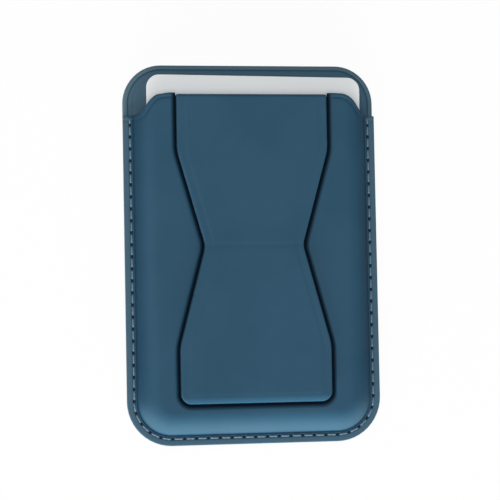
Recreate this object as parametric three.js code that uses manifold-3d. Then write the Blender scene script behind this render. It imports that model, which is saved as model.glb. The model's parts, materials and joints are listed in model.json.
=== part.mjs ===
// A magnetic card holder in moulded leather with a fold-out stand.
// Millimetres. X runs across the card, Y towards the mouth, Z out of the front face.
// It lies on its back: Z is 0 on the back face, and X and Y are 0 at the middle of the outline.
import * as THREE from 'three';
import { mergeVertices } from 'three/addons/utils/BufferGeometryUtils.js';
import Module from 'manifold-3d';

const wasm = await Module();
wasm.setup();

// The card is the standard bank card, and the pocket is built round it.
const CARD_WIDTH = 53.98;
const CARD_LENGTH = 85.6;
const CARD_THICKNESS = 0.76;
const CARD_RADIUS = 3.18;
const CARD_SIDE_PLAY = 1.6;
const CARD_END_PLAY = 2.7;
const CARD_TOP_MARGIN = 2.7;
const CARD_OFFSET = 0.7;
const CARD_TURN = -0.72 * Math.PI / 180;

// Outline and edges.
const FLANGE = 2.6;
const WALL = 0.6;
const TOP_RADIUS = 9.7;
const BOTTOM_RADIUS = 11;
const BACK_INSET = 0.2;
const GAP = 0.3;
const HALF_WIDTH = CARD_WIDTH / 2 + CARD_SIDE_PLAY + WALL + FLANGE;
const HALF_LENGTH = (CARD_LENGTH + CARD_TOP_MARGIN + CARD_END_PLAY + WALL + FLANGE) / 2;
const FAR = 2 * HALF_LENGTH;

// Layers, from the back face up.
const BACK_COVER = 0.8;
const MAGNET = 0.8;
const SHIELD = 0.2;
const CARRIER_WEB = 0.2;
const LINING = 0.4;
const POCKET = 1.7;
const FRONT_LINING = 0.3;
const FRONT_BOARD = 0.6;
const FRONT_COVER = 1;
const FLANGE_THICKNESS = 0.8;
const SHOULDER_WIDTH = 5.6;
const CARRIER_TOP = BACK_COVER + MAGNET + SHIELD + CARRIER_WEB;
const LINING_TOP = CARRIER_TOP + LINING;
const FLANGE_TOP = LINING_TOP + FLANGE_THICKNESS;
const POCKET_TOP = LINING_TOP + POCKET;
const BOARD_BOTTOM = POCKET_TOP + FRONT_LINING;
const BOARD_TOP = BOARD_BOTTOM + FRONT_BOARD;
const FACE = BOARD_TOP + FRONT_COVER;

// Mouth of the pocket, measured down from the top of the back panel.
const MOUTH_DEPTH = 7.5;
const STEP_HEIGHT = 5.4;
const STEP_WIDTH = 7.6;
const MOUTH_CREST = HALF_LENGTH - MOUTH_DEPTH;
const MOUTH_SIDE = MOUTH_CREST - STEP_HEIGHT;
const CREST_HALF_WIDTH = HALF_WIDTH - FLANGE - STEP_WIDTH;

// Ring of magnets and the bar magnet that keeps it from turning.
const RIM = FLANGE + GAP;
const CARRIER_HALF_WIDTH = HALF_WIDTH - BACK_INSET - RIM - GAP;
const RING_COUNT = 16;
const RING_MARGIN = 1.4;
const RING_WIDTH = 4;
const RING_OUTER = CARRIER_HALF_WIDTH - RING_MARGIN;
const RING_INNER = RING_OUTER - RING_WIDTH;
const RING_DEPTH = 37.1;
const RING_CENTRE = HALF_LENGTH - RING_DEPTH;
const BAR_WIDTH = 5;
const BAR_SPACE = 5;
const BAR_MARGIN = 6.7;

// Stitching along the two sides and the bottom.
const STITCH_INSET = 1.75;
const STITCH_START = 1.2;
const THREAD_WIDTH = 0.6;
const THREAD_HEIGHT = 0.3;

// Pressed line round the visible part of the back panel.
const CREASE_INSET = 1.5;
const CREASE_WIDTH = 0.5;
const CREASE_DEPTH = 0.15;

// Stand: an hourglass strap hinged at the mouth and folded at its waist.
const STRAP_HALF_WIDTH = 18.8;
const WAIST_HALF_WIDTH = 12.15;
const STRAP_CORNER = 2.6;
const STRAP_LAYER = 0.4;
const STRAP_PLATE = 0.6;
const STRAP_COVER = 0.6;
const STRAP_EDGE = 0.4;
const STRAP_PLATE_MARGIN = 2.2;
const RECESS_DEPTH = 0.5;
const RECESS_MARGIN = 1.25;
const ANCHOR = 0.5;
const ANCHOR_LENGTH = 7;
const HINGE = MOUTH_CREST - GAP;
const END_MARGIN = 10.2;
const UPPER_LENGTH = 37.3;
const UPPER_STRAIGHT = 13.8;
const LOWER_STRAIGHT = 14.3;
const STRAP_END = END_MARGIN - HALF_LENGTH;
const WAIST = HINGE - UPPER_LENGTH;
const UPPER_BREAK = HINGE - UPPER_STRAIGHT;
const LOWER_BREAK = STRAP_END + LOWER_STRAIGHT;
const STRAP_BOTTOM = FACE - RECESS_DEPTH;
const PLATE_BOTTOM = STRAP_BOTTOM + STRAP_LAYER;
const PLATE_TOP = PLATE_BOTTOM + STRAP_PLATE;
const STRAP_TOP = PLATE_TOP + STRAP_COVER;

// Magnets in the end of the stand, and the steel strip that holds them down.
const DISC_RADIUS = 4;
const DISC_SPREAD = 9;
const CATCH_WIDTH = 30;
const CATCH_LENGTH = 8;
const CATCH_THICKNESS = 0.4;
const DISC_CENTRE = STRAP_END + STRAP_PLATE_MARGIN + DISC_RADIUS + 2 * GAP;

const LEATHER = { color: 0x345469, roughness: 0.6 };
const LINING_CLOTH = { color: 0x3b586b, roughness: 0.85 };
const BOARD = { color: 0x2b2d30, roughness: 0.8 };
const MAGNET_METAL = { color: 0xb9bcc0, roughness: 0.35, metalness: 1 };
const STEEL = { color: 0x8f9499, roughness: 0.45, metalness: 1 };
const CARD_PLASTIC = { color: 0xd6dcdf, roughness: 0.35 };
const THREAD = { color: 0x5f86a0, roughness: 0.7 };

function solid(geometry) {
  geometry.deleteAttribute('normal');
  geometry.deleteAttribute('uv');
  const merged = mergeVertices(geometry, 1e-4);
  return new wasm.Manifold(new wasm.Mesh({
    numProp: 3,
    vertProperties: Float32Array.from(merged.attributes.position.array),
    triVerts: Uint32Array.from(merged.index.array),
  }));
}

function prism(shape, bottom, top, curveSegments = 6) {
  const geometry = new THREE.ExtrudeGeometry(shape, {
    depth: top - bottom, bevelEnabled: false, curveSegments,
  });
  return solid(geometry.translate(0, 0, bottom));
}

// A block that narrows to `shape` at its top: its sides stand straight up to the height
// `spring`, then close in by `width` along a quarter ellipse. It reaches below 0.
function domed(shape, spring, top, width, segments, curveSegments = 6) {
  const geometry = new THREE.ExtrudeGeometry(shape, {
    depth: spring, bevelEnabled: true, bevelSize: width, bevelThickness: top - spring,
    bevelSegments: segments, curveSegments,
  });
  return solid(geometry);
}

// All that lies between two heights, and all that lies between two lines across the card.
function layer(bottom, top) {
  return box(-FAR, FAR, -FAR, FAR, bottom, top);
}

function band(low, high) {
  return box(-FAR, FAR, low, high, -FAR, FAR);
}

function box(left, right, low, high, bottom, top) {
  const geometry = new THREE.BoxGeometry(right - left, high - low, top - bottom);
  geometry.translate((left + right) / 2, (low + high) / 2, (bottom + top) / 2);
  return solid(geometry);
}

// A rectangle with its own radius at the top corners and at the bottom corners.
function panel(halfWidth, low, high, lowRadius, highRadius) {
  const shape = new THREE.Shape();
  shape.moveTo(-halfWidth + lowRadius, low);
  shape.lineTo(halfWidth - lowRadius, low);
  shape.absarc(halfWidth - lowRadius, low + lowRadius, lowRadius, -Math.PI / 2, 0);
  shape.lineTo(halfWidth, high - highRadius);
  shape.absarc(halfWidth - highRadius, high - highRadius, highRadius, 0, Math.PI / 2);
  shape.lineTo(-halfWidth + highRadius, high);
  shape.absarc(highRadius - halfWidth, high - highRadius, highRadius, Math.PI / 2, Math.PI);
  shape.lineTo(-halfWidth, low + lowRadius);
  shape.absarc(lowRadius - halfWidth, low + lowRadius, lowRadius, Math.PI, Math.PI * 1.5);
  return shape;
}

function frontOutline(inset) {
  return panel(HALF_WIDTH - inset, inset - HALF_LENGTH, HALF_LENGTH - inset,
    Math.max(BOTTOM_RADIUS - inset, 0.8), Math.max(TOP_RADIUS - inset, 0.8));
}

function backOutline(inset) {
  const edge = inset + BACK_INSET;
  return panel(HALF_WIDTH - edge, edge - HALF_LENGTH, HALF_LENGTH - inset,
    Math.max(BOTTOM_RADIUS - edge, 0.8), Math.max(TOP_RADIUS - edge, 0.8));
}

// Everything below the edge of the mouth: a crest in the middle, a lower level at the sides,
// and an S-shaped step between them.
function belowMouth() {
  const side = HALF_WIDTH - FLANGE;
  const step = side - CREST_HALF_WIDTH;
  const shape = new THREE.Shape();
  shape.moveTo(-FAR, -FAR);
  shape.lineTo(FAR, -FAR);
  shape.lineTo(FAR, MOUTH_SIDE);
  shape.lineTo(side, MOUTH_SIDE);
  shape.bezierCurveTo(side - step * 0.37, MOUTH_SIDE, side - step * 0.48, MOUTH_CREST,
    CREST_HALF_WIDTH, MOUTH_CREST);
  shape.lineTo(-CREST_HALF_WIDTH, MOUTH_CREST);
  shape.bezierCurveTo(step * 0.48 - side, MOUTH_CREST, step * 0.37 - side, MOUTH_SIDE,
    -side, MOUTH_SIDE);
  shape.lineTo(-FAR, MOUTH_SIDE);
  return prism(shape, -FAR, FAR, 10);
}

// A closed outline through the corners of its right half and their mirror images.
// Each corner is [x, y, cut], and the cut is how far from the corner its rounding starts.
function mirroredOutline(rightCorners) {
  const leftCorners = rightCorners.map(([x, y, cut]) => [-x, y, cut]).reverse();
  const corners = [...rightCorners, ...leftCorners];
  const shape = new THREE.Shape();
  corners.forEach(([x, y, cut], index) => {
    const corner = new THREE.Vector2(x, y);
    const before = neighbour(corners, index - 1);
    const after = neighbour(corners, index + 1);
    const start = towards(corner, before, cut);
    const end = towards(corner, after, cut);
    if (index === 0) shape.moveTo(start.x, start.y);
    else shape.lineTo(start.x, start.y);
    if (cut > 0) shape.quadraticCurveTo(x, y, end.x, end.y);
  });
  return shape;
}

function neighbour(corners, index) {
  const [x, y] = corners[(index + corners.length) % corners.length];
  return new THREE.Vector2(x, y);
}

function towards(from, to, distance) {
  return to.clone().sub(from).setLength(distance).add(from);
}

// Outline of the strap between two heights, grown outwards by `margin`.
function hourglass(margin, high, low) {
  const wide = STRAP_HALF_WIDTH + margin;
  const narrow = WAIST_HALF_WIDTH + margin;
  return mirroredOutline([
    [wide, high, 0],
    [wide, UPPER_BREAK, 2],
    [narrow, WAIST, 1.2],
    [wide, LOWER_BREAK, 2],
    [wide, low, STRAP_CORNER + margin],
  ]);
}

function upperHalf(inset) {
  return band(WAIST + GAP / 2 + inset, HINGE - GAP - inset);
}

function lowerHalf(inset) {
  return band(-FAR, WAIST - GAP / 2 - inset);
}

function strapSolid(inset, bottom, top) {
  return prism(hourglass(-inset, FAR, STRAP_END + inset), bottom, top, 3);
}

function disc(x, y, radius, bottom, top) {
  const circle = new THREE.Shape().absarc(x, y, radius, 0, Math.PI * 2);
  return prism(circle, bottom, top, 12);
}

function ringSector(inner, outer, start, end) {
  const shape = new THREE.Shape();
  shape.absarc(0, RING_CENTRE, outer, start, end);
  shape.absarc(0, RING_CENTRE, inner, end, start, true);
  return shape;
}

function annulus(inner, outer, bottom, top, curveSegments = 24) {
  const shape = new THREE.Shape().absarc(0, RING_CENTRE, outer, 0, Math.PI * 2);
  shape.holes.push(new THREE.Path().absarc(0, RING_CENTRE, inner, 0, Math.PI * 2));
  return prism(shape, bottom, top, curveSegments);
}

// The bar fills the space between the ring and the lower edge of its carrier.
function barSolid(margin, bottom, top) {
  const high = RING_CENTRE - RING_OUTER - BAR_SPACE;
  const low = BACK_INSET + RIM + GAP - HALF_LENGTH + BAR_MARGIN;
  const half = BAR_WIDTH / 2 + margin;
  return box(-half, half, low - margin, high + margin, bottom, top);
}

// The line of stitches as a flat U, open at the top, `width` wide.
function stitchTrack(width, bottom, top) {
  const outer = prism(frontOutline(STITCH_INSET - width / 2), bottom, top);
  const inner = prism(frontOutline(STITCH_INSET + width / 2), -FAR, FAR);
  return outer.subtract(inner).intersect(band(-FAR, MOUTH_SIDE - STITCH_START));
}

function backCover() {
  return prism(backOutline(0), 0, BACK_COVER)
    .subtract(stitchTrack(THREAD_WIDTH + 2 * GAP, -FAR, THREAD_HEIGHT));
}

function magnetCarrier() {
  const roof = CARRIER_TOP - CARRIER_WEB;
  return prism(backOutline(RIM + GAP), BACK_COVER, CARRIER_TOP)
    .subtract(annulus(RING_INNER - GAP, RING_OUTER + GAP, -FAR, roof))
    .subtract(barSolid(GAP, -FAR, BACK_COVER + MAGNET));
}

function ringMagnet(index) {
  const pitch = 2 * Math.PI / RING_COUNT;
  const middle = (index + 0.5) * pitch;
  const half = pitch / 2 - GAP / RING_INNER;
  return prism(ringSector(RING_INNER, RING_OUTER, middle - half, middle + half),
    BACK_COVER, BACK_COVER + MAGNET, 4);
}

function magnetShield() {
  const bottom = BACK_COVER + MAGNET;
  return annulus(RING_INNER, RING_OUTER, bottom, bottom + SHIELD);
}

function backLining() {
  const inner = prism(backOutline(RIM), -FAR, CARRIER_TOP);
  const crease = prism(backOutline(CREASE_INSET), LINING_TOP - CREASE_DEPTH, FAR)
    .subtract(prism(backOutline(CREASE_INSET + CREASE_WIDTH), -FAR, FAR))
    .intersect(band(MOUTH_SIDE + CREASE_WIDTH, FAR));
  return prism(backOutline(0), BACK_COVER, LINING_TOP).subtract(inner).subtract(crease);
}

function card() {
  const shape = panel(CARD_WIDTH / 2, -CARD_LENGTH / 2, CARD_LENGTH / 2, CARD_RADIUS, CARD_RADIUS);
  const middle = HALF_LENGTH - CARD_TOP_MARGIN - CARD_LENGTH / 2;
  return prism(shape, LINING_TOP, LINING_TOP + CARD_THICKNESS)
    .rotate([0, 0, CARD_TURN * 180 / Math.PI])
    .translate([CARD_OFFSET, middle, 0]);
}

// The space inside the moulded front, with a rounded shoulder like the one outside.
function frontCavity(margin) {
  const top = frontOutline(FLANGE + WALL + SHOULDER_WIDTH + margin);
  return domed(top, FLANGE_TOP, BOARD_TOP, SHOULDER_WIDTH, 5);
}

// The edge of the front pieces is set back under the strap, where its leather turns in.
function turnIn(margin) {
  const half = STRAP_HALF_WIDTH + margin;
  return box(-half, half, HINGE - ANCHOR, FAR, -FAR, FAR);
}

function frontLining() {
  return frontCavity(GAP)
    .intersect(layer(POCKET_TOP, BOARD_BOTTOM))
    .intersect(belowMouth().translate([0, -ANCHOR, 0]))
    .subtract(turnIn(GAP));
}

function frontBoard() {
  return prism(frontOutline(FLANGE + WALL + SHOULDER_WIDTH), BOARD_BOTTOM, BOARD_TOP)
    .intersect(belowMouth().translate([0, -ANCHOR, 0]))
    .subtract(turnIn(GAP))
    .subtract(catchSolid(GAP, CATCH_THICKNESS));
}

function catchSolid(margin, depth) {
  const half = CATCH_WIDTH / 2 + margin;
  const reach = CATCH_LENGTH / 2 + margin;
  return box(-half, half, DISC_CENTRE - reach, DISC_CENTRE + reach, BOARD_TOP - depth, BOARD_TOP);
}

function frontCover() {
  const face = frontOutline(FLANGE + SHOULDER_WIDTH);
  const recess = hourglass(RECESS_MARGIN, FAR, STRAP_END - RECESS_MARGIN);
  return prism(frontOutline(0), 0, FLANGE_TOP)
    .add(domed(face, FLANGE_TOP, FACE, SHOULDER_WIDTH, 6))
    .subtract(frontCavity(0))
    .intersect(layer(LINING_TOP, FAR))
    .intersect(belowMouth())
    .subtract(prism(recess, STRAP_BOTTOM, FAR, 3))
    .subtract(turnIn(GAP));
}

// The tail of the strap's leather: over the edge of the mouth and back along the lining.
function standAnchor() {
  const half = STRAP_HALF_WIDTH;
  const tail = POCKET_TOP - ANCHOR;
  return box(-half, half, HINGE - ANCHOR, HINGE, tail, STRAP_BOTTOM)
    .add(box(-half, half, HINGE - ANCHOR_LENGTH, HINGE, tail, POCKET_TOP));
}

function strapCover(half) {
  const shape = hourglass(-STRAP_EDGE, FAR, STRAP_END + STRAP_EDGE);
  return domed(shape, STRAP_TOP - STRAP_EDGE, STRAP_TOP, STRAP_EDGE, 2, 3)
    .intersect(half(0))
    .subtract(strapPocket(half, 0, 0))
    .intersect(layer(PLATE_BOTTOM, FAR));
}

function strapPocket(half, margin, bottom) {
  return strapSolid(STRAP_PLATE_MARGIN + margin, bottom, PLATE_TOP)
    .intersect(half(STRAP_PLATE_MARGIN / 2 + margin));
}

function strapPlate(half) {
  return strapPocket(half, GAP, PLATE_BOTTOM);
}

function lowerPlate() {
  const hole = side => disc(side * DISC_SPREAD, DISC_CENTRE, DISC_RADIUS + GAP, -FAR, FAR);
  return strapPlate(lowerHalf).subtract(hole(-1)).subtract(hole(1));
}

function strapBacking(half) {
  return strapSolid(0, STRAP_BOTTOM, PLATE_BOTTOM).intersect(half(0));
}

function mesh(name, body, look) {
  const { vertProperties, triVerts } = body.getMesh();
  const geometry = new THREE.BufferGeometry();
  geometry.setAttribute('position', new THREE.BufferAttribute(vertProperties, 3));
  geometry.setIndex(new THREE.BufferAttribute(triVerts, 1));
  const faceted = geometry.toNonIndexed();
  faceted.computeVertexNormals();
  const result = new THREE.Mesh(faceted, new THREE.MeshStandardMaterial(look));
  result.name = name;
  return result;
}

function wallet() {
  const ring = Array.from({ length: RING_COUNT }, (_, index) => {
    const number = String(index + 1).padStart(2, '0');
    return mesh(`ring_magnet_${number}`, ringMagnet(index), MAGNET_METAL);
  });
  const threadFront = stitchTrack(THREAD_WIDTH, FLANGE_TOP, FLANGE_TOP + THREAD_HEIGHT);
  return [
    mesh('back_cover', backCover(), LEATHER),
    mesh('magnet_carrier', magnetCarrier(), BOARD),
    ...ring,
    mesh('align_magnet', barSolid(0, BACK_COVER, BACK_COVER + MAGNET), MAGNET_METAL),
    mesh('magnet_shield', magnetShield(), STEEL),
    mesh('back_lining', backLining(), LINING_CLOTH),
    mesh('card', card(), CARD_PLASTIC),
    mesh('front_lining', frontLining(), LINING_CLOTH),
    mesh('front_board', frontBoard(), BOARD),
    mesh('catch_plate', catchSolid(0, CATCH_THICKNESS), STEEL),
    mesh('front_cover', frontCover(), LEATHER),
    mesh('thread_front', threadFront, THREAD),
    mesh('thread_back', stitchTrack(THREAD_WIDTH, 0, THREAD_HEIGHT), THREAD),
    mesh('stand_anchor', standAnchor(), LEATHER),
  ];
}

function stand() {
  const magnet = side => disc(side * DISC_SPREAD, DISC_CENTRE, DISC_RADIUS, PLATE_BOTTOM, PLATE_TOP);
  return [
    mesh('stand_upper_cover', strapCover(upperHalf), LEATHER),
    mesh('stand_upper_plate', strapPlate(upperHalf), BOARD),
    mesh('stand_upper_backing', strapBacking(upperHalf), LINING_CLOTH),
    mesh('stand_lower_cover', strapCover(lowerHalf), LEATHER),
    mesh('stand_lower_plate', lowerPlate(), BOARD),
    mesh('stand_lower_backing', strapBacking(lowerHalf), LINING_CLOTH),
    mesh('stand_magnet_left', magnet(-1), MAGNET_METAL),
    mesh('stand_magnet_right', magnet(1), MAGNET_METAL),
  ];
}

const holder = new THREE.Group();
holder.name = 'card_holder';
holder.add(...wallet(), ...stand());

export default holder;
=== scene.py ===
import json
from math import acos, cos, exp, hypot, pi, radians, sin, sqrt

import bmesh
import bpy
from mathutils import Matrix, Vector


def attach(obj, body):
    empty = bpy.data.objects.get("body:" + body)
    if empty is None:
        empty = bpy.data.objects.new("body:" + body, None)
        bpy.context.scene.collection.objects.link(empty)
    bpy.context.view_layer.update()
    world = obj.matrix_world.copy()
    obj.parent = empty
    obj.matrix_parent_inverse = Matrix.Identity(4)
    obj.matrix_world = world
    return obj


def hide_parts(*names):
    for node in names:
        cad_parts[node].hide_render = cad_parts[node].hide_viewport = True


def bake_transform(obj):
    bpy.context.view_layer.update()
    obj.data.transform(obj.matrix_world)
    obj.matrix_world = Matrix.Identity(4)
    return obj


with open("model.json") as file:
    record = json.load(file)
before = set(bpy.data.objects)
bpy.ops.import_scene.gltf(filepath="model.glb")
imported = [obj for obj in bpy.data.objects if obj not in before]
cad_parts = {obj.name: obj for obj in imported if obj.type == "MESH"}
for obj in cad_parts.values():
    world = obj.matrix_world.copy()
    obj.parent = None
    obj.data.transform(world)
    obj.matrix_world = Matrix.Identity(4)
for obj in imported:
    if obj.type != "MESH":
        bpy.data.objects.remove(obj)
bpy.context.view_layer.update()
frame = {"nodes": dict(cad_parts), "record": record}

# Sizes in millimetres. Most are the part's own; the mouth and the recess follow the photograph a
# little more closely. X runs across the card, Y towards the mouth and Z out of the front face.
MM = 0.001

# The wallet, from its back up: cover, lining, flange, pocket and face.
HALF_WIDTH = 31.79
HALF_LENGTH = 47.1
TOP_RADIUS = 9.7
BOTTOM_RADIUS = 11.0
BACK_INSET = 0.2
BACK_COVER = 0.8
LINING_TOP = 2.4
FLANGE_TOP = 3.2
FLANGE = 2.6
WALL = 0.6
SHOULDER = 5.6
CAVITY_TOP = 5.0
FACE = 6.0
CORNER_X = HALF_WIDTH - BOTTOM_RADIUS
CORNER_Y = BOTTOM_RADIUS - HALF_LENGTH

# The mouth: an S on each side, from the flange up to the crest.
MOUTH_CREST = 39.9
MOUTH_SIDE = 34.4
STEP_WIDTH = 7.6
MOUTH_SHIFT = 0.45

# The card, and where its middle lies and how far it is turned.
CARD = dict(width=53.98, length=85.6, thickness=0.76, radius=3.18)
CARD_PLACE = (0.7, 1.6, radians(-0.72))

# The stand's strap: straight sides as far as its two breaks, and a waist between them.
STRAP_HALF = 18.8
WAIST_HALF = 12.15
STRAP_CORNER = 2.6
STRAP_END = -36.9
STRAP_BOTTOM = 5.5
STRAP_TOP = 7.1
HINGE = 39.3
WAIST = 2.0
UPPER_BREAK = 25.5
LOWER_BREAK = -22.6
STRAP_SEAM = 38.5
STRAP_INNER = -7.5

# The groove round the strap, and the floor of the recess inside it.
GROOVE_WIDTH = 1.55
GROOVE_DEPTH = 0.9
RECESS_SHIFT = 0.2
RECESS_INNER = -2.5

# The seam: a row of stitches on both sides of the flange, down one side, round the foot and up.
STITCH_INSET = 1.75
STITCH_COUNT = 70
STITCH_HALF_WIDTH = 0.2
STITCH_HALF_HEIGHT = 0.17
STITCH_GAP = 0.5
SEAM_START = 32.1
FIRST_STITCH = 1.85
FIRST_GAP = 0.3
SEAM_RADIUS = BOTTOM_RADIUS - STITCH_INSET
SEAM_SIDE = SEAM_START - CORNER_Y
SEAM_TURN = SEAM_RADIUS * pi / 2
SEAM_HALF = SEAM_SIDE + SEAM_TURN + CORNER_X
STITCH_STEP = 2 * SEAM_HALF / STITCH_COUNT

# The photograph's view, in degrees and millimetres, and its scale at that distance.
VIEW_TURN = 9.79
VIEW_NOD = -2.66
VIEW_ROLL = 1.1
VIEW_DISTANCE = 450
VIEW_ASIDE = 0.565, -0.885
PIXELS_PER_MM = 4.021
PHOTO_WIDTH = 500
SENSOR_WIDTH = 36

# The soft light from all round.
AMBIENT = 0.3


# ---- shader writing

class Signal:
    """A shader output that can be used in arithmetic."""

    def __init__(self, finish, socket):
        self.finish = finish
        self.socket = socket

    def math(self, operation, first, second=0.0):
        inputs = {0: first, 1: second}
        return self.finish.node("ShaderNodeMath", inputs, settings={"operation": operation})

    def __add__(self, other):
        return self.math("ADD", self, other)

    def __radd__(self, other):
        return self.math("ADD", other, self)

    def __sub__(self, other):
        return self.math("SUBTRACT", self, other)

    def __rsub__(self, other):
        return self.math("SUBTRACT", other, self)

    def __mul__(self, other):
        return self.math("MULTIPLY", self, other)

    def __rmul__(self, other):
        return self.math("MULTIPLY", other, self)

    def __abs__(self):
        return self.math("ABSOLUTE", self)

    def fraction(self):
        return self.math("FRACT", self)

    def step(self, low, high):
        """0 below low, 1 above high, and a smooth rise between them; low may be the larger."""
        settings = {"interpolation_type": "SMOOTHSTEP"}
        return self.finish.node("ShaderNodeMapRange", {0: self, 1: low, 2: high}, settings=settings)


class Finish:
    """A material built round one Principled shader."""

    def __init__(self, name, color, roughness, metallic=0.0, **uniform):
        self.material = bpy.data.materials.new(name)
        self.material.use_nodes = True
        self.tree = self.material.node_tree
        self.shader = self.tree.nodes["Principled BSDF"]
        self.set("Base Color", color)
        self.set("Roughness", roughness)
        self.set("Metallic", metallic)
        for socket, value in uniform.items():
            self.set(socket.replace("_", " "), value)

    def node(self, kind, inputs=None, output=0, settings=None):
        """Adds any other node: its settings first, then the values or links of its inputs."""
        node = self.tree.nodes.new(kind)
        for key, value in (settings or {}).items():
            setattr(node, key, value)
        for key, value in (inputs or {}).items():
            self.feed(node.inputs[key], value)
        return Signal(self, node.outputs[output])

    def feed(self, socket, value):
        if isinstance(value, Signal):
            self.tree.links.new(value.socket, socket)
        else:
            socket.default_value = value

    def set(self, socket, value):
        self.feed(self.shader.inputs[socket], value)

    def coordinates(self):
        return self.node("ShaderNodeTexCoord", output="Object")

    def noise(self, scale, detail=2.0, roughness=0.5):
        inputs = {"Vector": self.coordinates(), "Scale": scale, "Detail": detail}
        inputs["Roughness"] = roughness
        return self.node("ShaderNodeTexNoise", inputs)

    def cells(self, scale):
        inputs = {"Vector": self.coordinates(), "Scale": scale}
        return self.node("ShaderNodeTexVoronoi", inputs)

    def mix(self, factor, first, second):
        inputs = {0: factor, 6: first, 7: second}
        return self.node("ShaderNodeMix", inputs, output=2, settings={"data_type": "RGBA"})

    def attribute(self, name):
        """A mark that a piece carries on its vertices, 0 where it carries none."""
        return self.node("ShaderNodeAttribute", output="Fac", settings={"attribute_name": name})

    def bump(self, height, distance, strength=1.0):
        """Height is in units of distance, which is in metres."""
        inputs = {"Height": height, "Distance": distance, "Strength": strength}
        self.set("Normal", self.node("ShaderNodeBump", inputs))


def linear(red, green, blue):
    """A colour given as it looks on a screen, from 0 to 255."""
    def one(value):
        value /= 255
        return value / 12.92 if value <= 0.04045 else ((value + 0.055) / 1.055) ** 2.4
    return one(red), one(green), one(blue), 1.0


# ---- finishes

def petrol_leather(name, seam=False):
    """Smooth corrected leather: a fine pebble and slow changes of tone, paler with painted light
    and darker with painted shade where a piece carries those marks."""
    finish = Finish(name, linear(39, 77, 100), 0.55, Specular_IOR_Level=0.2)
    painted_light = finish.attribute("painted_light")
    painted_shade = finish.attribute("painted_shade")
    slow = finish.noise(70, 3)
    tone = finish.mix(slow.step(0.3, 0.7), linear(37, 75, 98), linear(41, 79, 102))
    # Painted light from one mark, painted shade from the other.
    tone = finish.mix(painted_light * 0.55, tone, linear(86, 112, 126))
    tone = finish.mix(painted_shade, tone, linear(1, 22, 38))
    height = finish.cells(1900) * 0.6 + finish.noise(5200, 2) * 0.4
    if seam:
        holes = needle_holes(finish)
        # Painted shade: the needle holes are coloured dark, since the mesh only dents them.
        tone = finish.mix(holes * 0.95, tone, linear(3, 15, 28))
        height = height - holes * 6.0
    finish.set("Base Color", tone)
    finish.set("Roughness", 0.5 + finish.noise(220, 2) * 0.1 + painted_shade * 0.3)
    finish.bump(height, 0.00003, 0.35)
    return finish.material


def needle_holes(finish):
    """1 at the needle holes of the seam. The map gives the place along the seam in stitches, half
    a stitch on, and the distance in from the flange's edge in millimetres."""
    seam_map = finish.node("ShaderNodeUVMap", settings={"uv_map": "seam"})
    along = finish.node("ShaderNodeSeparateXYZ", {0: seam_map}, output=0)
    inset = finish.node("ShaderNodeSeparateXYZ", {0: seam_map}, output=1)
    near = abs(along.fraction() - 0.5)
    aside = abs(inset - STITCH_INSET)
    return near.step(0.1768, 0.0748) * aside.step(0.42, 0.22)


def cloth_lining(name):
    """Fine microfibre: matt, with a short fuzz."""
    finish = Finish(name, linear(44, 66, 80), 0.9, Sheen_Weight=0.25, Sheen_Roughness=0.5)
    fuzz = finish.noise(3800, 3)
    tone = finish.mix(fuzz.step(0.35, 0.65), linear(38, 58, 72), linear(50, 73, 88))
    finish.set("Base Color", tone)
    finish.bump(fuzz, 0.00004, 0.5)
    return finish.material


def painted_edge(name):
    """Edge paint: smooth, a little glossier and greyer than the leather."""
    finish = Finish(name, linear(56, 84, 101), 0.4, Specular_IOR_Level=0.5)
    wave = finish.noise(500, 2)
    tone = finish.mix(wave.step(0.3, 0.7), linear(50, 78, 95), linear(60, 89, 106))
    finish.set("Base Color", tone)
    finish.bump(wave, 0.00004, 0.4)
    return finish.material


def waxed_thread(name):
    finish = Finish(name, linear(89, 117, 133), 0.5, Sheen_Weight=0.15)
    fibre = finish.noise(6000, 2)
    tone = finish.mix(fibre.step(0.3, 0.7), linear(78, 106, 122), linear(100, 128, 144))
    finish.set("Base Color", tone)
    finish.bump(fibre, 0.00003, 0.4)
    return finish.material


def card_plastic(name):
    finish = Finish(name, linear(245, 249, 250), 0.38, Specular_IOR_Level=0.45)
    cloud = finish.noise(40, 2)
    tone = finish.mix(cloud.step(0.3, 0.7), linear(244, 248, 250), linear(247, 250, 250))
    finish.set("Base Color", tone)
    finish.set("Roughness", 0.34 + cloud * 0.08)
    finish.bump(finish.noise(9000, 1), 0.000006, 0.3)
    return finish.material


def fibre_board(name):
    finish = Finish(name, linear(43, 46, 50), 0.8)
    fibre = finish.noise(1500, 4)
    tone = finish.mix(fibre.step(0.3, 0.7), linear(36, 39, 43), linear(52, 55, 59))
    finish.set("Base Color", tone)
    finish.bump(fibre, 0.00003, 0.5)
    return finish.material


def bare_metal(name, color, roughness):
    finish = Finish(name, color, roughness, metallic=1.0)
    grain = finish.noise(900, 3)
    finish.set("Roughness", roughness - 0.05 + grain * 0.1)
    finish.bump(grain, 0.000008, 0.4)
    return finish.material


LEATHER = petrol_leather("petrol_leather")
SEWN_LEATHER = petrol_leather("petrol_leather_sewn", seam=True)
EDGE = painted_edge("painted_edge")
LINING = cloth_lining("microfibre_lining")
THREAD = waxed_thread("waxed_thread")
CARD_WHITE = card_plastic("white_card")
BOARD = fibre_board("fibre_board")
MAGNET = bare_metal("nickel_magnet", linear(205, 206, 208), 0.3)
STEEL = bare_metal("steel_sheet", linear(160, 163, 166), 0.42)


# ---- mesh making

def lay_grid(bm, columns, rows, place):
    """A grid of faces whose vertex in a column and a row lies at place(column, row)."""
    made = bmesh.ops.create_grid(bm, x_segments=columns - 1, y_segments=rows - 1, size=1)
    for vertex in made["verts"]:
        column = round((vertex.co.x + 1) / 2 * (columns - 1))
        row = round((vertex.co.y + 1) / 2 * (rows - 1))
        vertex.co = place(column, row)
    return made["verts"]


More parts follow.
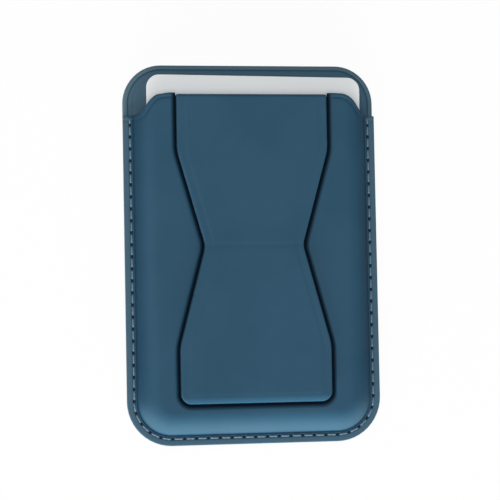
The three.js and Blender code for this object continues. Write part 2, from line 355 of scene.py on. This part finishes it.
def close(bm):
    """Merges the doubles, fills what is open and points every face outwards."""
    bmesh.ops.remove_doubles(bm, verts=bm.verts, dist=1e-4)
    open_edges = [edge for edge in bm.edges if edge.is_boundary]
    if open_edges:
        bmesh.ops.holes_fill(bm, edges=open_edges, sides=0)
    bmesh.ops.recalc_face_normals(bm, faces=bm.faces)


def thicken(bm, underside):
    """Closes an open sheet with a copy of itself at the height underside(x, y)."""
    kept = bmesh.ops.extrude_face_region(bm, geom=bm.faces[:], use_keep_orig=True)
    for item in kept["geom"]:
        if isinstance(item, bmesh.types.BMVert):
            item.co.z = underside(item.co.x, item.co.y)
    close(bm)
    put_in_order(bm)


def put_in_order(bm):
    """Sorts the faces by their places, because extruding adds the rim's in any order."""
    def middle(face):
        return [round(value, 4) for value in face.calc_center_median()]

    for rank, face in enumerate(sorted(bm.faces, key=middle)):
        face.index = rank
    bm.faces.sort()


def piece(name, bm, materials, body=None, pick=None, crease=35, seam=False, marks=None):
    """Makes an object of a mesh drawn in millimetres. Pick gives a face the number of its
    material, crease is the angle that stays sharp, and a mark is a strength at each vertex."""
    if pick:
        for face in bm.faces:
            face.material_index = pick(face)
    if seam:
        draw_seam_map(bm)
    for mark, strength in (marks or {}).items():
        layer = bm.verts.layers.float.new(mark)
        for vertex in bm.verts:
            vertex[layer] = strength(*vertex.co)
    bmesh.ops.scale(bm, vec=(MM, MM, MM), verts=bm.verts)
    mesh = bpy.data.meshes.new(name)
    bm.to_mesh(mesh)
    bm.free()
    for material in materials:
        mesh.materials.append(material)
    mesh.shade_smooth()
    mesh.set_sharp_from_angle(angle=radians(crease))
    obj = bpy.data.objects.new(name, mesh)
    bpy.context.collection.objects.link(obj)
    if body:
        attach(obj, body)
    return obj


def lerp(first, last, share):
    """The value at a share of the way from the first to the last."""
    return first + (last - first) * share


def smooth(value, low, high):
    """A smooth rise from 0 at low to 1 at high."""
    share = min(1, max(0, (value - low) / (high - low)))
    return share * share * (3 - 2 * share)


def bell(value, middle, width):
    """1 at the middle, falling smoothly to both sides."""
    return exp(-((value - middle) / width) ** 2)


def rounding(distance, width, height):
    """How far a rounded edge falls below the surface at a distance in from it."""
    if distance >= width:
        return 0
    share = 1 - max(0, distance) / width
    return height * (1 - sqrt(max(0, 1 - share * share)))


# ---- outlines

def half_outline(half_width, low, high, low_radius, high_radius, inset):
    """Right half of a rounded rectangle, from the middle of its foot to the middle of its head."""
    side = half_width - inset
    foot = low + inset
    head = high - inset
    small = max(low_radius - inset, 0.3)
    large = max(high_radius - inset, 0.3)
    turns = [pi / 2 * step / 14 for step in range(15)]
    points = [((side - small) * step / 10, foot) for step in range(10)]
    points += [(side - small + small * sin(a), foot + small - small * cos(a)) for a in turns]
    points += [(side, lerp(foot + small, head - large, step / 30)) for step in range(1, 30)]
    points += [(side - large + large * cos(a), head - large + large * sin(a)) for a in turns]
    points += [((side - large) * (1 - step / 10), head) for step in range(1, 11)]
    return points


def loop(right_half):
    """A closed outline from its right half."""
    return right_half + [(-x, y) for x, y in right_half[-2:0:-1]]


def back_loop(inset):
    """The outline of the back cover and of the panel on it, at a distance in."""
    edge = HALF_WIDTH - BACK_INSET
    foot = BACK_INSET - HALF_LENGTH
    radius = BOTTOM_RADIUS - BACK_INSET
    return loop(half_outline(edge, foot, HALF_LENGTH, radius, TOP_RADIUS - BACK_INSET, inset))


def ring_solid(rings, height):
    """A closed solid through rings of points, each a loop and its height. A fan of triangles
    round one middle point caps each end."""
    bm = bmesh.new()
    count = len(rings[0][0])

    def place(column, row):
        points, level = rings[row]
        x, y = points[column % count]
        return x, y, height(x, y, level)

    lay_grid(bm, count + 1, len(rings), place)
    close(bm)
    bmesh.ops.poke(bm, faces=[face for face in bm.faces if len(face.verts) > 4])
    return bm


def inset_from(x, y):
    """Distance in from the flange's outline, along the sides and the foot."""
    if y > CORNER_Y:
        return HALF_WIDTH - abs(x)
    if abs(x) < CORNER_X:
        return y + HALF_LENGTH
    return BOTTOM_RADIUS - hypot(abs(x) - CORNER_X, y - CORNER_Y)


# ---- the seam

def seam_point(length):
    """A point of the seam and its direction, at a length along it from the mouth's right side."""
    if length > SEAM_HALF:
        x, y, heading = seam_point(2 * SEAM_HALF - length)
        return -x, y, -heading
    if length < SEAM_SIDE:
        return CORNER_X + SEAM_RADIUS, SEAM_START - length, pi / 2
    if length < SEAM_SIDE + SEAM_TURN:
        turn = (length - SEAM_SIDE) / SEAM_RADIUS
        x = CORNER_X + SEAM_RADIUS * cos(turn)
        return x, CORNER_Y - SEAM_RADIUS * sin(turn), pi / 2 - turn
    return SEAM_HALF - length, CORNER_Y - SEAM_RADIUS, 0


def seam_length(x, y, side):
    """How far along the seam a point of the flange lies, in stitches. Side is negative on the
    left."""
    if y > CORNER_Y:
        length = SEAM_START - y
    elif abs(x) < CORNER_X:
        length = SEAM_HALF - abs(x)
    else:
        reach = max(hypot(abs(x) - CORNER_X, y - CORNER_Y), 1e-6)
        length = SEAM_SIDE + SEAM_RADIUS * acos((abs(x) - CORNER_X) / reach)
    if side < 0:
        length = 2 * SEAM_HALF - length
    return length / STITCH_STEP


def draw_seam_map(bm):
    """The map for the needle holes. It stands still beyond the seam's ends, so no holes follow."""
    layer = bm.loops.layers.uv.new("seam")
    for face in bm.faces:
        middle = face.calc_center_median()
        for corner in face.loops:
            x, y, _ = corner.vert.co
            along = seam_length(x, y, middle.x)
            along = min(STITCH_COUNT + 0.8, max(-0.8, along))
            corner[layer].uv = (along + 0.5, inset_from(x, y))


def add_stitch(bm, middle, heading, length, level, face):
    """One stitch of twisted thread lying on the leather, its two ends diving into their holes."""
    def place(column, row):
        along = row / 10 * 2 - 1
        turn = 2 * pi * column / 10
        fade = sqrt(max(0, 1 - along ** 6))
        strand = 1 + 0.1 * cos(3 * (turn - along * 2.4))
        across = STITCH_HALF_WIDTH * fade * strand * cos(turn)
        up = STITCH_HALF_HEIGHT * fade * strand * sin(turn) + 0.06 - 0.3 * along ** 6
        return along * length / 2, across, up * face

    made = lay_grid(bm, 11, 11, place)
    spot = Matrix.Translation((middle[0], middle[1], level)) @ Matrix.Rotation(heading, 4, "Z")
    bmesh.ops.transform(bm, matrix=spot, verts=made)


def seam_of_stitches(name, level, face, node):
    """The whole row at a level, on the front with face 1 or on the back with face -1."""
    bm = bmesh.new()
    full = STITCH_STEP - STITCH_GAP
    stitches = [((number + 0.5) * STITCH_STEP, full) for number in range(STITCH_COUNT)]
    for end in (-FIRST_STITCH / 2, 2 * SEAM_HALF + FIRST_STITCH / 2):
        stitches.append((end, FIRST_STITCH - FIRST_GAP))
    for middle, length in stitches:
        x, y, heading = seam_point(middle)
        add_stitch(bm, (x, y), heading, length, level, face)
    close(bm)
    row = piece(name, bm, [THREAD], "wallet", crease=60)
    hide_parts(node)


# ---- back

def back_leather():
    """The back cover, with a sunk track for the stitches and turned edges."""
    track = STITCH_INSET - BACK_INSET
    insets = [9, 5, 3, track + 0.75, track + 0.55, track + 0.42, track, track - 0.42]
    insets += [track - 0.55, track - 0.75, 0.5, 0.33, 0.16, 0.05, 0]
    rings = [(back_loop(inset), rounding(inset, 0.5, 0.35)) for inset in insets]
    rings += [(back_loop(0), BACK_COVER - 0.1), (back_loop(0.1), BACK_COVER)]

    def height(x, y, level):
        depth = 0.3 * smooth(0.55 - abs(inset_from(x, y) - STITCH_INSET), 0, 0.13)
        return level + depth * smooth(MOUTH_SIDE + 0.4 - y, 0, 0.5) * (level < 0.01)

    bm = ring_solid(rings, height)
    cover = piece("back_cover_leather", bm, [SEWN_LEATHER, EDGE], "wallet",
                  pick=on_the_side, seam=True)
    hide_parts("back_cover")


def on_the_side(face):
    """1, the painted edge, on upright faces."""
    return int(abs(face.normal.z) < 0.45)


def back_panel():
    """The panel that shows above the mouth: a rounded rim and a pressed line inside it."""
    line = 1.15
    insets = [0, 0.04, 0.14, 0.28, 0.45, 0.7, line - 0.24, line - 0.14, line - 0.05, line + 0.05]
    insets += [line + 0.14, line + 0.24, line + 0.5, 2.1, 2.4, 2.5, 2.6, 2.75, 3.2, 5, 8]
    rings = [(back_loop(0.1), BACK_COVER), (back_loop(0), BACK_COVER + 0.1)]
    rings += [(back_loop(inset), panel_height(inset, line)) for inset in insets]
    bm = ring_solid(rings, lambda x, y, level: level)
    # Painted highlight and painted light on the rim and panel, painted shade in the pressed line.
    marks = {"painted_light": rim_painted_highlight,
             "painted_shade": lambda x, y, z: 0.45 * bell(panel_inset(x, y), line, 0.12)}
    panel = piece("back_panel_leather", bm, [LEATHER, EDGE], "wallet",
                  pick=on_the_side, marks=marks)
    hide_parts("back_lining")


def panel_height(inset, line):
    """The panel's top: its rounded rim, a slight swell inside the line, and two pressed lines."""
    pressed = 0.14 * bell(inset, line, 0.12) + 0.06 * bell(inset, 2.5, 0.15)
    swell = 0.1 * smooth(inset, line, line + 0.5)
    return LINING_TOP - rounding(inset, 0.45, 0.4) - pressed - 0.1 + swell


def panel_inset(x, y):
    """Distance in from the back panel's outline round its head."""
    radius = TOP_RADIUS - BACK_INSET
    corner_x = HALF_WIDTH - BACK_INSET - radius
    corner_y = HALF_LENGTH - radius
    if y < corner_y:
        return HALF_WIDTH - BACK_INSET - abs(x)
    if abs(x) < corner_x:
        return HALF_LENGTH - y
    return radius - hypot(abs(x) - corner_x, y - corner_y)


def rim_painted_highlight(x, y, z):
    """Painted light: a painted highlight on the rim, and paler over the panel and more on the left.
    """
    outer = 1 - smooth(panel_inset(x, y), 0.9, 1.2)
    left = 0.45 * smooth(-x, 20, 29)
    return (0.45 + 0.75 * outer + left) * smooth(z, 0.9, 1.6)


# ---- the card

def white_card():
    """The blank card, with softened edges, lying a little askew in the pocket."""
    half = CARD["width"] / 2
    end = CARD["length"] / 2
    corner = CARD["radius"]
    low = LINING_TOP
    high = LINING_TOP + CARD["thickness"]

    def at(inset):
        return loop(half_outline(half, -end, end, corner, corner, inset))

    levels = [(0.1, low), (0.03, low + 0.03), (0, low + 0.1), (0, high - 0.1)]
    levels += [(0.03, high - 0.03), (0.1, high), (0.3, high)]
    rings = [(at(inset), level) for inset, level in levels]
    bm = ring_solid(rings, lambda x, y, level: level)
    x, y, turn = CARD_PLACE
    spot = Matrix.Translation((x, y, 0)) @ Matrix.Rotation(turn, 4, "Z")
    bmesh.ops.transform(bm, matrix=spot, verts=bm.verts)
    card = piece("plain_card", bm, [CARD_WHITE], "wallet", crease=30)
    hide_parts("card")


# ---- the strap's outline, shared by the strap and by the recess it lies in

def sharp_half_width(y):
    """Half the strap's width at a height, with sharp corners."""
    if y > UPPER_BREAK or y < LOWER_BREAK:
        return STRAP_HALF
    if y > WAIST:
        return lerp(WAIST_HALF, STRAP_HALF, (y - WAIST) / (UPPER_BREAK - WAIST))
    return lerp(WAIST_HALF, STRAP_HALF, (WAIST - y) / (WAIST - LOWER_BREAK))


def strap_half_width(y):
    """Half the strap's width at a height, its corners a little rounded."""
    reach = 1.3
    return sum(sharp_half_width(y + reach * step / 4) for step in range(-4, 5)) / 9


def beyond_strap(x, y):
    """Distance out from the strap's outline: negative inside it."""
    corner_x = STRAP_HALF - STRAP_CORNER
    corner_y = STRAP_END + STRAP_CORNER
    if y > corner_y:
        return abs(x) - strap_half_width(y)
    if abs(x) < corner_x:
        return STRAP_END - y
    return hypot(abs(x) - corner_x, y - corner_y) - STRAP_CORNER


TURN_STEPS = 12
FOOT_STEPS = 16


def u_path(side_x, corner, radius, column, sides, top):
    """A point of a U-shaped line. Its first columns run down the side: each of the distances
    below the top, then equal steps. The next ones go round the corner and along the foot."""
    distances, steps = sides
    corner_x, corner_y = corner
    if column < len(distances):
        y = top - distances[column]
        return side_x(y), y
    step = column - len(distances) + 1
    if step <= steps:
        y = lerp(top - distances[-1], corner_y, step / steps)
        return side_x(y), y
    turn = step - steps
    if turn <= TURN_STEPS:
        angle = pi / 2 * turn / TURN_STEPS
        return corner_x + radius * cos(angle), corner_y - radius * sin(angle)
    share = 1 - (turn - TURN_STEPS) / FOOT_STEPS
    return corner_x * share, corner_y - radius


def last_column(sides):
    """The column at the middle of the foot."""
    distances, steps = sides
    return len(distances) + steps + TURN_STEPS + FOOT_STEPS - 1


# ---- front cover

def mouth_points():
    """The edge of the mouth from the right side to the middle: low at the side, then an S up."""
    side = HALF_WIDTH - FLANGE
    knots = [side, side - 0.33 * STEP_WIDTH, side - 0.32 * STEP_WIDTH, side - STEP_WIDTH]
    levels = [MOUTH_SIDE, MOUTH_SIDE, MOUTH_CREST, MOUTH_CREST]
    points = [(HALF_WIDTH + 1, MOUTH_SIDE)]
    for step in range(41):
        t = step / 40
        weights = [(1 - t) ** 3, 3 * t * (1 - t) ** 2, 3 * t * t * (1 - t), t ** 3]
        x = sum(weight * knot for weight, knot in zip(weights, knots))
        y = sum(weight * level for weight, level in zip(weights, levels))
        points.append((x, y))
    points.append((0, MOUTH_CREST))
    return points


MOUTH = mouth_points()


def mouth_height(x):
    """The mouth's edge, which lies a little to the right of the middle."""
    reach = abs(x - MOUTH_SHIFT)
    for (x0, y0), (x1, y1) in zip(MOUTH, MOUTH[1:]):
        if x1 <= reach <= x0:
            return lerp(y0, y1, (x0 - reach) / max(x0 - x1, 1e-6))
    return MOUTH_SIDE


def mouth_distance(x, y):
    """Distance from the mouth's edge, 5 wherever it is further off than that."""
    if y < mouth_height(x) - 5:
        return 5
    spot = Vector((abs(x - MOUTH_SHIFT), y))
    return min(segment_distance(spot, Vector(a), Vector(b)) for a, b in zip(MOUTH, MOUTH[1:]))


def segment_distance(spot, start, end):
    """Distance of a spot from a straight line between two points."""
    line = end - start
    share = min(1, max(0, (spot - start).dot(line) / line.length_squared))
    return (spot - start - line * share).length


def shoulder(inset, width, foot, top, power=0.5):
    """Height of the moulded shoulder from its foot to the flat: an ellipse, or with power 1 a
    parabola."""
    share = min(1, max(0, 1 - inset / width))
    return foot + (top - foot) * (1 - share * share) ** power


def cover_top(x, y):
    """Height of the moulded front: flange with its pressed line, shoulder, groove, recess, hem."""
    inset = inset_from(x, y)
    pressed = 0.1 * bell(inset, STITCH_INSET, 0.3) + 0.12 * bell(inset, FLANGE - 0.05, 0.22)
    flat = FLANGE_TOP - rounding(inset, 0.25, 0.2) - pressed
    # The shoulder is fuller along the sides than at the foot.
    power = lerp(0.95, 0.62, smooth(y, -41, -28))
    risen = shoulder(inset - FLANGE, SHOULDER, FLANGE_TOP, FACE, power)
    height = risen if inset > FLANGE + 0.02 else flat
    beyond = beyond_strap(x - RECESS_SHIFT, y)
    share = min(1, max(0, 1 - beyond / GROOVE_WIDTH))
    height -= GROOVE_DEPTH * sin(pi / 2 * share) ** 1.5
    if beyond < -0.6:
        height = STRAP_BOTTOM - 0.02
    edge = mouth_distance(x, y)
    lip = min(0.5, (height - cover_underside(x, y)) * 0.45)
    height -= rounding(edge, 0.55, lip) + 0.1 * bell(edge, 1.2, 0.17)
    return max(height, cover_underside(x, y) + 0.1)


def cover_underside(x, y):
    """Height of the front's inner side, flat under the flange and one wall below the shoulder."""
    inset = inset_from(x, y) - FLANGE - WALL
    if inset < 0:
        return LINING_TOP
    return shoulder(inset, SHOULDER, FLANGE_TOP, CAVITY_TOP)


def cover_rows():
    """Lines round the cover, from its outer edge in to the middle: each a kind and an amount."""
    rows = [("edge", inset) for inset in (0, 0.03, 0.1, 0.2, 0.32, 0.45, 0.8, 1.15, 1.35, 1.55)]
    rows += [("edge", inset) for inset in (1.75, 1.95, 2.15, 2.3, 2.42, 2.52, 2.61)]
    for step in range(1, 19):
        rows.append(("edge", FLANGE + 0.02 + SHOULDER * (1 - cos(pi / 2 * step / 18))))
    rows += [("face", share) for share in (0.2, 0.4, 0.6, 0.8, 0.93)]
    groove = (1.55, 1.4, 1.25, 1.1, 0.95, 0.8, 0.65, 0.5, 0.35, 0.2, 0.05, -0.1, -0.3, -0.55)
    floor = (-0.65, -0.9, -1.2, -1.6, -2.0, RECESS_INNER)
    rows += [("strap", distance) for distance in groove + floor]
    return rows + [("middle", share) for share in (0.75, 0.5, 0.25, 0)]


# How the lines run down each side: close together at the mouth, then 96 equal steps.
COVER_SIDES = ((0, 0.06, 0.14, 0.26, 0.4, 0.55, 0.72, 0.9, 1.1, 1.35, 1.7, 2.2, 2.8, 3.5, 4.3), 96)


def edge_line(inset, column, sides, top):
    """A point of a line at a distance in from the cover's outer edge."""
    radius = max(BOTTOM_RADIUS - inset, 0.3)
    corner = HALF_WIDTH - inset - radius, inset + radius - HALF_LENGTH
    return u_path(lambda y: corner[0] + radius, corner, radius, column, sides, top)


def strap_line(distance, column, sides, top):
    """A point of a line at a distance out from the strap's outline, or in from it below 0."""
    radius = max(STRAP_CORNER + distance, 0.05)
    corner = STRAP_HALF + distance - radius, STRAP_END - distance + radius
    return u_path(lambda y: strap_half_width(y) + distance, corner, radius, column, sides, top)


def mouth_top(x):
    """Where the cover ends at the mouth: set back under the strap, whose leather turns in there."""
    return HINGE - 0.5 if abs(x) < STRAP_HALF + 0.3 else mouth_height(x)


def cover_spot(kind, amount, column, sides, side):
    """A point of the cover on the right side, with side 1, or on the left side, with side -1."""
    if kind == "edge":
        x, y = edge_line(amount, column, sides, mouth_top(side * (HALF_WIDTH - amount)))
        return side * x, y
    inner = FLANGE + SHOULDER
    if kind == "face":
        outer_top = mouth_top(side * (HALF_WIDTH - inner))
        inner_top = mouth_top(side * (STRAP_HALF + GROOVE_WIDTH))
        x0, y0 = edge_line(inner, column, sides, outer_top)
        x1, y1 = strap_line(GROOVE_WIDTH, column, sides, inner_top)
        return side * lerp(x0, x1, amount) + RECESS_SHIFT * amount, lerp(y0, y1, amount)
    if kind == "strap":
        x, y = strap_line(amount, column, sides, mouth_top(side * (STRAP_HALF + amount)))
        return side * x + RECESS_SHIFT, y
    x, y = strap_line(RECESS_INNER, column, sides, mouth_top(0))
    floor = STRAP_END + STRAP_CORNER
    return side * x * amount + RECESS_SHIFT, y if y > floor else lerp(floor, y, amount)


def front_leather():
    """The moulded front, from the seam's flange over the shoulder to the recess for the strap."""
    rows = cover_rows()
    sides = COVER_SIDES
    half = last_column(sides)

    def place(column, row):
        side = 1 if column <= half else -1
        x, y = cover_spot(*rows[row], half - abs(column - half), sides, side)
        return x, y, cover_top(x, y)

    bm = bmesh.new()
    lay_grid(bm, 2 * half + 1, len(rows), place)
    bmesh.ops.remove_doubles(bm, verts=bm.verts, dist=1e-4)
    thicken(bm, cover_underside)
    # Painted shade and painted sheen on the front.
    marks = {"painted_shade": front_painted_shade, "painted_light": front_painted_sheen}
    cover = piece("moulded_front_leather", bm, [SEWN_LEATHER, EDGE, LINING], "wallet",
                  pick=cover_finish, seam=True, marks=marks)
    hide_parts("front_cover")


def cover_finish(face):
    """0 for leather, 1 for the painted edge round the flange and 2 for the lining underneath."""
    middle = face.calc_center_median()
    if face.normal.z < -0.2:
        return 2
    return int(inset_from(middle.x, middle.y) < 0.02 and face.normal.z < 0.3)


def front_painted_shade(x, y, z):
    """Painted shade: darker in the groove round the strap, the hem, the crease and the foot of the
    shoulder.
    """
    inset = inset_from(x, y)
    beyond = beyond_strap(x - RECESS_SHIFT, y)
    groove = smooth(GROOVE_WIDTH - beyond, 0.15, 0.95) * (1 - 0.75 * smooth(-beyond, 0.5, 2.0))
    hem = 0.45 * bell(mouth_distance(x, y), 1.2, 0.16) * smooth(inset, 2.6, 3.2)
    crease = 0.35 * bell(inset, FLANGE - 0.05, 0.25)
    # Painted shade at the shoulder's foot, stronger along the sides than at the bottom.
    depth = 0.05 + 0.32 * smooth(y, -40, -30)
    foot = depth * (1 - smooth(inset, FLANGE, FLANGE + 3.6)) * (inset > FLANGE)
    return max(groove, hem, crease, foot) * (z > 2.9)


def front_painted_sheen(x, y, z):
    """Painted sheen: paler on the hem, on the flange and on the lower shoulder."""
    inset = inset_from(x, y)
    hem = 0.25 * (1 - smooth(mouth_distance(x, y), 0.3, 0.6))
    flange = 0.72 * (1 - smooth(inset, 1.0, 1.8))
    lower = 0.6 * (1 - smooth(inset, 3.5, 7.5)) * smooth(inset, FLANGE, 3.1) * smooth(-y, 34, 41)
    return hem + flange + lower


# ---- strap

def strap_height(x, y):
    """Height of the strap: rounded sides and end, a slight step over its plates, and a crease."""
    inside = -beyond_strap(x, y)
    fall = rounding(inside, 0.3, 0.24) + 0.55 * (1 - min(1, (y - STRAP_END) / 1.6)) ** 2
    plate = 0.04 * smooth(inside, 1.8, 2.5)
    crease = 0.02 * bell(y, WAIST, 0.5)
    return STRAP_TOP - 0.06 - fall + plate - crease


def strap_leather():
    """The strap below the mouth, in one piece with a slight crease at its waist."""
    distances = (0, -0.03, -0.1, -0.2, -0.32, -0.42, -0.7, -1.1, -1.5, -1.8, -2.0, -2.2, -2.4, -2.7)
    rows = [("strap", distance) for distance in distances + (-3.4, -5, STRAP_INNER)]
    rows += [("middle", share) for share in (0.75, 0.5, 0.25, 0)]
    heights = [STRAP_SEAM]
    while heights[-1] > LOWER_BREAK - 2.5:
        heights.append(heights[-1] - (0.25 if abs(heights[-1] - WAIST) < 2.6 else 0.75))
    sides = [STRAP_SEAM - height for height in heights], 10
    half = last_column(sides)
    floor = STRAP_END - STRAP_INNER + STRAP_CORNER

    def place(column, row):
        kind, amount = rows[row]
        distance = amount if kind == "strap" else STRAP_INNER
        x, y = strap_line(distance, half - abs(column - half), sides, STRAP_SEAM)
        if kind == "middle":
            x *= amount
            y = y if y > floor else lerp(floor, y, amount)
        x = x if column <= half else -x
        return x, y, strap_height(x, y)

    bm = bmesh.new()
    lay_grid(bm, 2 * half + 1, len(rows), place)
    bmesh.ops.remove_doubles(bm, verts=bm.verts, dist=1e-4)
    thicken(bm, lambda x, y: STRAP_BOTTOM + 0.02)
    strap = piece("strap_leather", bm, [LEATHER, EDGE, LINING], pick=strap_finish)
    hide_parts("stand_upper_cover", "stand_upper_backing",
                "stand_lower_cover", "stand_lower_backing")
    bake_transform(strap)


def strap_finish(face):
    """0 for leather, 1 for the painted edge and 2 for the lining underneath."""
    if face.normal.z < -0.5:
        return 2
    return int(abs(face.normal.z) < 0.2)


def hinge_leather():
    """The strap's leather going over the edge of the mouth and back inside along the lining: a
    profile of heights against Y, drawn across the strap's width. Its outer side is the roll."""
    roll = [(STRAP_SEAM, STRAP_TOP), (38.75, STRAP_TOP), (38.95, 7.06), (39.14, 6.96)]
    roll += [(39.28, 6.8), (39.38, 6.58), (39.44, 6.3), (39.46, 5.9), (39.46, 5.5), (39.45, 5.0)]
    roll += [(39.4, 4.5), (39.3, 4.1), (39.1, 3.8), (38.8, 3.65), (38.4, 3.6), (32.4, 3.6)]
    tail = [(32.4, 4.08), (38.6, 4.08), (38.82, 4.3), (38.85, 5.0), (38.85, 5.4)]
    tail += [(STRAP_SEAM, STRAP_BOTTOM + 0.02)]
    profile = roll + tail
    steps = (0, 0.03, 0.1, 0.2, 0.32, 0.42, 4, 8, 12)
    stations = [STRAP_HALF - step for step in steps]
    stations += [-x for x in reversed(stations)]

    def place(column, row):
        x = stations[row]
        y, z = profile[column % len(profile)]
        outside = column % len(profile) < len(roll) - 2
        fall = rounding(STRAP_HALF - abs(x), 0.4, 0.32) if outside else 0
        lean = smooth(y, 38.7, 39.4)
        return x, y - fall * lean, z - fall * (1 - lean)

    bm = bmesh.new()
    lay_grid(bm, len(profile) + 1, len(stations), place)
    close(bm)
    hinge = piece("mouth_hinge_leather", bm, [LEATHER, EDGE], crease=40)
    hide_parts("stand_anchor")
    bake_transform(hinge)


# ---- what stays as it is in the part

def dress_nodes():
    """Gives every solid the finish of its material slot."""
    by_slot = {"leather": LEATHER, "lining": LINING, "board": BOARD, "magnet": MAGNET,
               "steel": STEEL, "card": CARD_WHITE, "thread": THREAD}
    slots = {part["node"]: part["material_slot"] for part in frame["record"]["subparts"]}
    for name, node in frame["nodes"].items():
        node.data.materials.clear()
        node.data.materials.append(by_slot[slots[name]])


# ---- studio

def studio_floor():
    """A white floor that the camera sees as white, with the object's own shadow on it."""
    bm = bmesh.new()
    bmesh.ops.create_grid(bm, x_segments=1, y_segments=1, size=3000)
    # A tenth of a millimetre below the back, so that the two faces don't flicker.
    bmesh.ops.translate(bm, vec=(0, 0, -0.1), verts=bm.verts)
    finish = Finish("white_floor", (0.9, 0.9, 0.9, 1), 1.0, Specular_IOR_Level=0.0)
    glow = finish.node("ShaderNodeEmission", {"Color": (1, 1, 1, 1), "Strength": 1.0})
    # The small share of the lit floor that the camera still sees holds the shadow.
    seen = finish.node("ShaderNodeLightPath", output="Is Camera Ray") * 0.94
    mirrored = finish.node("ShaderNodeLightPath", output="Is Glossy Ray")
    through = finish.node("ShaderNodeLightPath", output="Is Transmission Ray")
    lit = Signal(finish, finish.shader.outputs[0])
    mixed = {0: seen + mirrored + through, 1: lit, 2: glow}
    shown = finish.node("ShaderNodeMixShader", mixed)
    out = finish.tree.nodes["Material Output"]
    finish.feed(out.inputs["Surface"], shown)
    floor = piece("studio_floor", bm, [finish.material])


def area_light(name, place, target, size, power):
    """A soft rectangular lamp, with its places and size in metres and its power in watts."""
    light = bpy.data.lights.new(name, "AREA")
    light.shape = "RECTANGLE"
    light.size, light.size_y = size
    light.energy = power
    lamp = bpy.data.objects.new(name, light)
    lamp.location = place
    aim = Vector(target) - Vector(place)
    lamp.rotation_euler = aim.to_track_quat("-Z", "Y").to_euler()
    bpy.context.collection.objects.link(lamp)
    return lamp


def studio_world():
    """White where the camera looks past the floor, and an even, weak light from all round."""
    world = bpy.data.worlds.new("studio")
    world.use_nodes = True
    bpy.context.scene.world = world
    tree = world.node_tree
    back = tree.nodes["Background"]
    back.inputs["Color"].default_value = (1, 1, 1, 1)
    rays = tree.nodes.new("ShaderNodeLightPath")
    strength = tree.nodes.new("ShaderNodeMapRange")
    strength.inputs["To Min"].default_value = AMBIENT
    tree.links.new(rays.outputs["Is Camera Ray"], strength.inputs["Value"])
    tree.links.new(strength.outputs[0], back.inputs["Strength"])


def photo_camera():
    """The photograph's view: above the face, a little from the left and from below."""
    turn = Matrix.Rotation(radians(VIEW_TURN), 3, "Y")
    nod = Matrix.Rotation(radians(VIEW_NOD), 3, "X")
    roll = Matrix.Rotation(radians(VIEW_ROLL), 3, "Z")
    back = (roll @ nod @ turn).transposed()
    middle = Vector((0, 0, FACE / 2))
    spot = middle - back @ Vector((*VIEW_ASIDE, -VIEW_DISTANCE))
    data = bpy.data.cameras.new("photo_camera")
    data.sensor_width = SENSOR_WIDTH
    data.lens = SENSOR_WIDTH * PIXELS_PER_MM * VIEW_DISTANCE / PHOTO_WIDTH
    data.clip_start = 0.01
    camera = bpy.data.objects.new("photo_camera", data)
    camera.matrix_world = Matrix.Translation(spot * MM) @ back.to_4x4()
    bpy.context.collection.objects.link(camera)
    bpy.context.scene.camera = camera


def build():
    photo_camera()
    dress_nodes()
    back_leather()
    back_panel()
    white_card()
    front_leather()
    seam_of_stitches("front_stitches", FLANGE_TOP - 0.1, 1, "thread_front")
    seam_of_stitches("back_stitches", 0.28, -1, "thread_back")
    strap_leather()
    hinge_leather()
    studio_floor()
    studio_world()
    # The low lamp isn't mirrored in the leather, which would turn it white when seen from behind.
    window = area_light("window", (-0.18, -1.29, 0.185), (0, 0, 0.004), (1.5, 0.32), 47)
    window.visible_glossy = False
    area_light("overhead", (-0.36, 0.0, 1.28), (0, 0, 0), (1.4, 1.4), 10)
    bpy.context.scene.view_settings.view_transform = "Standard"


build()
